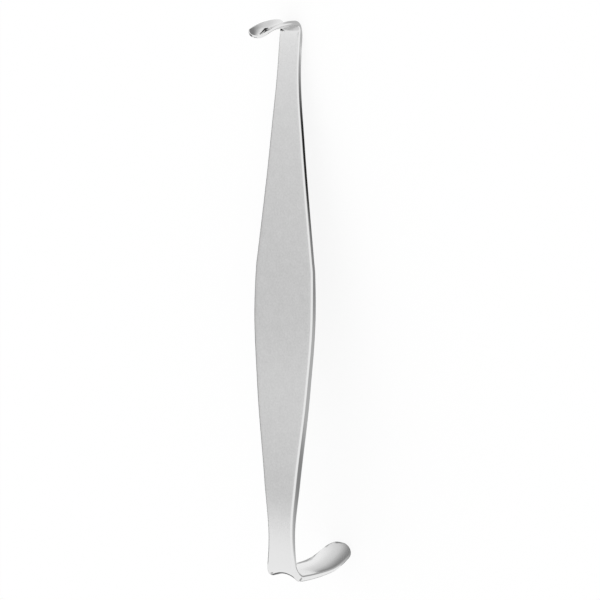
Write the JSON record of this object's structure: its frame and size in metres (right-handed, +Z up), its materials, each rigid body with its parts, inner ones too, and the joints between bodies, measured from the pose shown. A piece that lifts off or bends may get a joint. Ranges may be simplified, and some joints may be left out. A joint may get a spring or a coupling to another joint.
{
  "type": "double-ended surgical retractor",
  "caption": "Double-ended hand retractor bent from one steel strip: a broad flat handle with a small and a large curved blade turned opposite ways.",
  "frame": {"origin": "centre of the footprint, on the table that the retractor lies on", "axes": "+X along the handle towards the small blade, +Y across the handle, +Z up; the retractor lies on the tip of its large blade and the bend of its small one, with the handle's pictured face up"},
  "size_m": [0.188, 0.0246, 0.0325],
  "materials": {
    "steel": "satin handle, polished rims and blades"
  },
  "bodies": {
    "root": {"retractor": "steel"}
  },
  "joints": []
}
